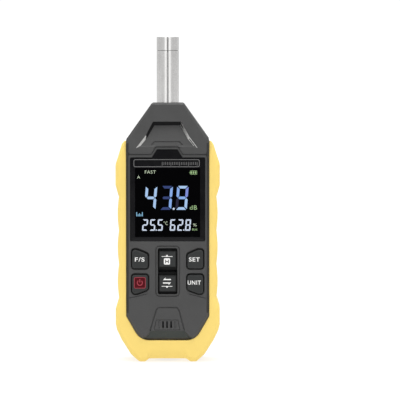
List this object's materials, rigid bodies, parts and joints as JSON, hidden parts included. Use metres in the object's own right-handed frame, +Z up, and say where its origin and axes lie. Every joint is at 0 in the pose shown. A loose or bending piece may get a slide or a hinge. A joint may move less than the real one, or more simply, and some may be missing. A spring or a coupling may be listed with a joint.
{
  "type": "sound level meter",
  "caption": "Hand-held sound level meter with a metal microphone barrel, colour readout, push keys and a moulded yellow bumper that wraps the case.",
  "frame": {"origin": "on the ground under the feet, in the middle of the meter's width and depth", "axes": "+Z up towards the microphone, -Y out of the readout, +X to the right as seen from the front"},
  "size_m": [0.0594, 0.031, 0.185],
  "materials": {
    "cover_plastic": "fine moulded grain",
    "bumper_rubber": "satin moulded elastomer",
    "key_plastic": "fine matt",
    "lens_plastic": "polished, black border",
    "foam_tape": "closed-cell foam",
    "panel_glass": "polished",
    "guide_plastic": "clear moulded",
    "frame_plastic": "moulded",
    "flex_film": "film",
    "silicone": "matt",
    "dome_steel": "sprung sheet",
    "board_laminate": "solder mask",
    "component_plastic": "moulded",
    "screw_steel": "plated",
    "screw_black": "black oxide",
    "barrel_steel": "turned and polished",
    "grid_steel": "etched sheet",
    "capsule_metal": "drawn can",
    "lead_sheath": "extruded",
    "battery_wire": "extruded",
    "battery_foil": "laminate pouch",
    "port_shell": "plated",
    "insert_brass": "machined",
    "label_film": "printed film, blank"
  },
  "bodies": {
    "housing": {"front_cover": "cover_plastic", "rear_cover": "cover_plastic", "bumper": "bumper_rubber", "display_lens": "lens_plastic", "lens_gasket": "foam_tape", "display_panel": "panel_glass", "light_guide": "guide_plastic", "display_frame": "frame_plastic", "display_flex": "flex_film", "keypad_mat": "silicone", "key_domes": "dome_steel", "main_board": "board_laminate", "board_components": "component_plastic", "board_screws": "screw_steel", "case_screws": "screw_black", "mic_barrel": "barrel_steel", "mic_cap": "barrel_steel", "mic_grid": "grid_steel", "mic_capsule": "capsule_metal", "mic_sleeve": "silicone", "barrel_oring": "silicone", "mic_lead": "lead_sheath", "battery_cell": "battery_foil", "battery_pad": "foam_tape", "battery_lead": "battery_wire", "usb_port": "port_shell", "climate_sensor": "board_laminate", "sensor_gasket": "foam_tape", "tripod_insert": "insert_brass", "rear_label": "label_film"},
    "fast_slow": {"key_fast_slow": "key_plastic"},
    "power": {"key_power": "key_plastic"},
    "set": {"key_set": "key_plastic"},
    "unit": {"key_unit": "key_plastic"},
    "hold": {"key_hold": "key_plastic"},
    "max_min": {"key_max_min": "key_plastic"}
  },
  "joints": [
    {"name": "fast_slow_press", "type": "slide", "parent": "housing", "child": "fast_slow", "axis": [0, 1, 0], "range_m": [0, 0.0008], "stiffness_N_per_m": 2000},
    {"name": "power_press", "type": "slide", "parent": "housing", "child": "power", "axis": [0, 1, 0], "range_m": [0, 0.0008], "stiffness_N_per_m": 2000},
    {"name": "set_press", "type": "slide", "parent": "housing", "child": "set", "axis": [0, 1, 0], "range_m": [0, 0.0008], "stiffness_N_per_m": 2000},
    {"name": "unit_press", "type": "slide", "parent": "housing", "child": "unit", "axis": [0, 1, 0], "range_m": [0, 0.0008], "stiffness_N_per_m": 2000},
    {"name": "hold_press", "type": "slide", "parent": "housing", "child": "hold", "axis": [0, 1, 0], "range_m": [0, 0.0008], "stiffness_N_per_m": 2000},
    {"name": "max_min_press", "type": "slide", "parent": "housing", "child": "max_min", "axis": [0, 1, 0], "range_m": [0, 0.0008], "stiffness_N_per_m": 2000}
  ]
}
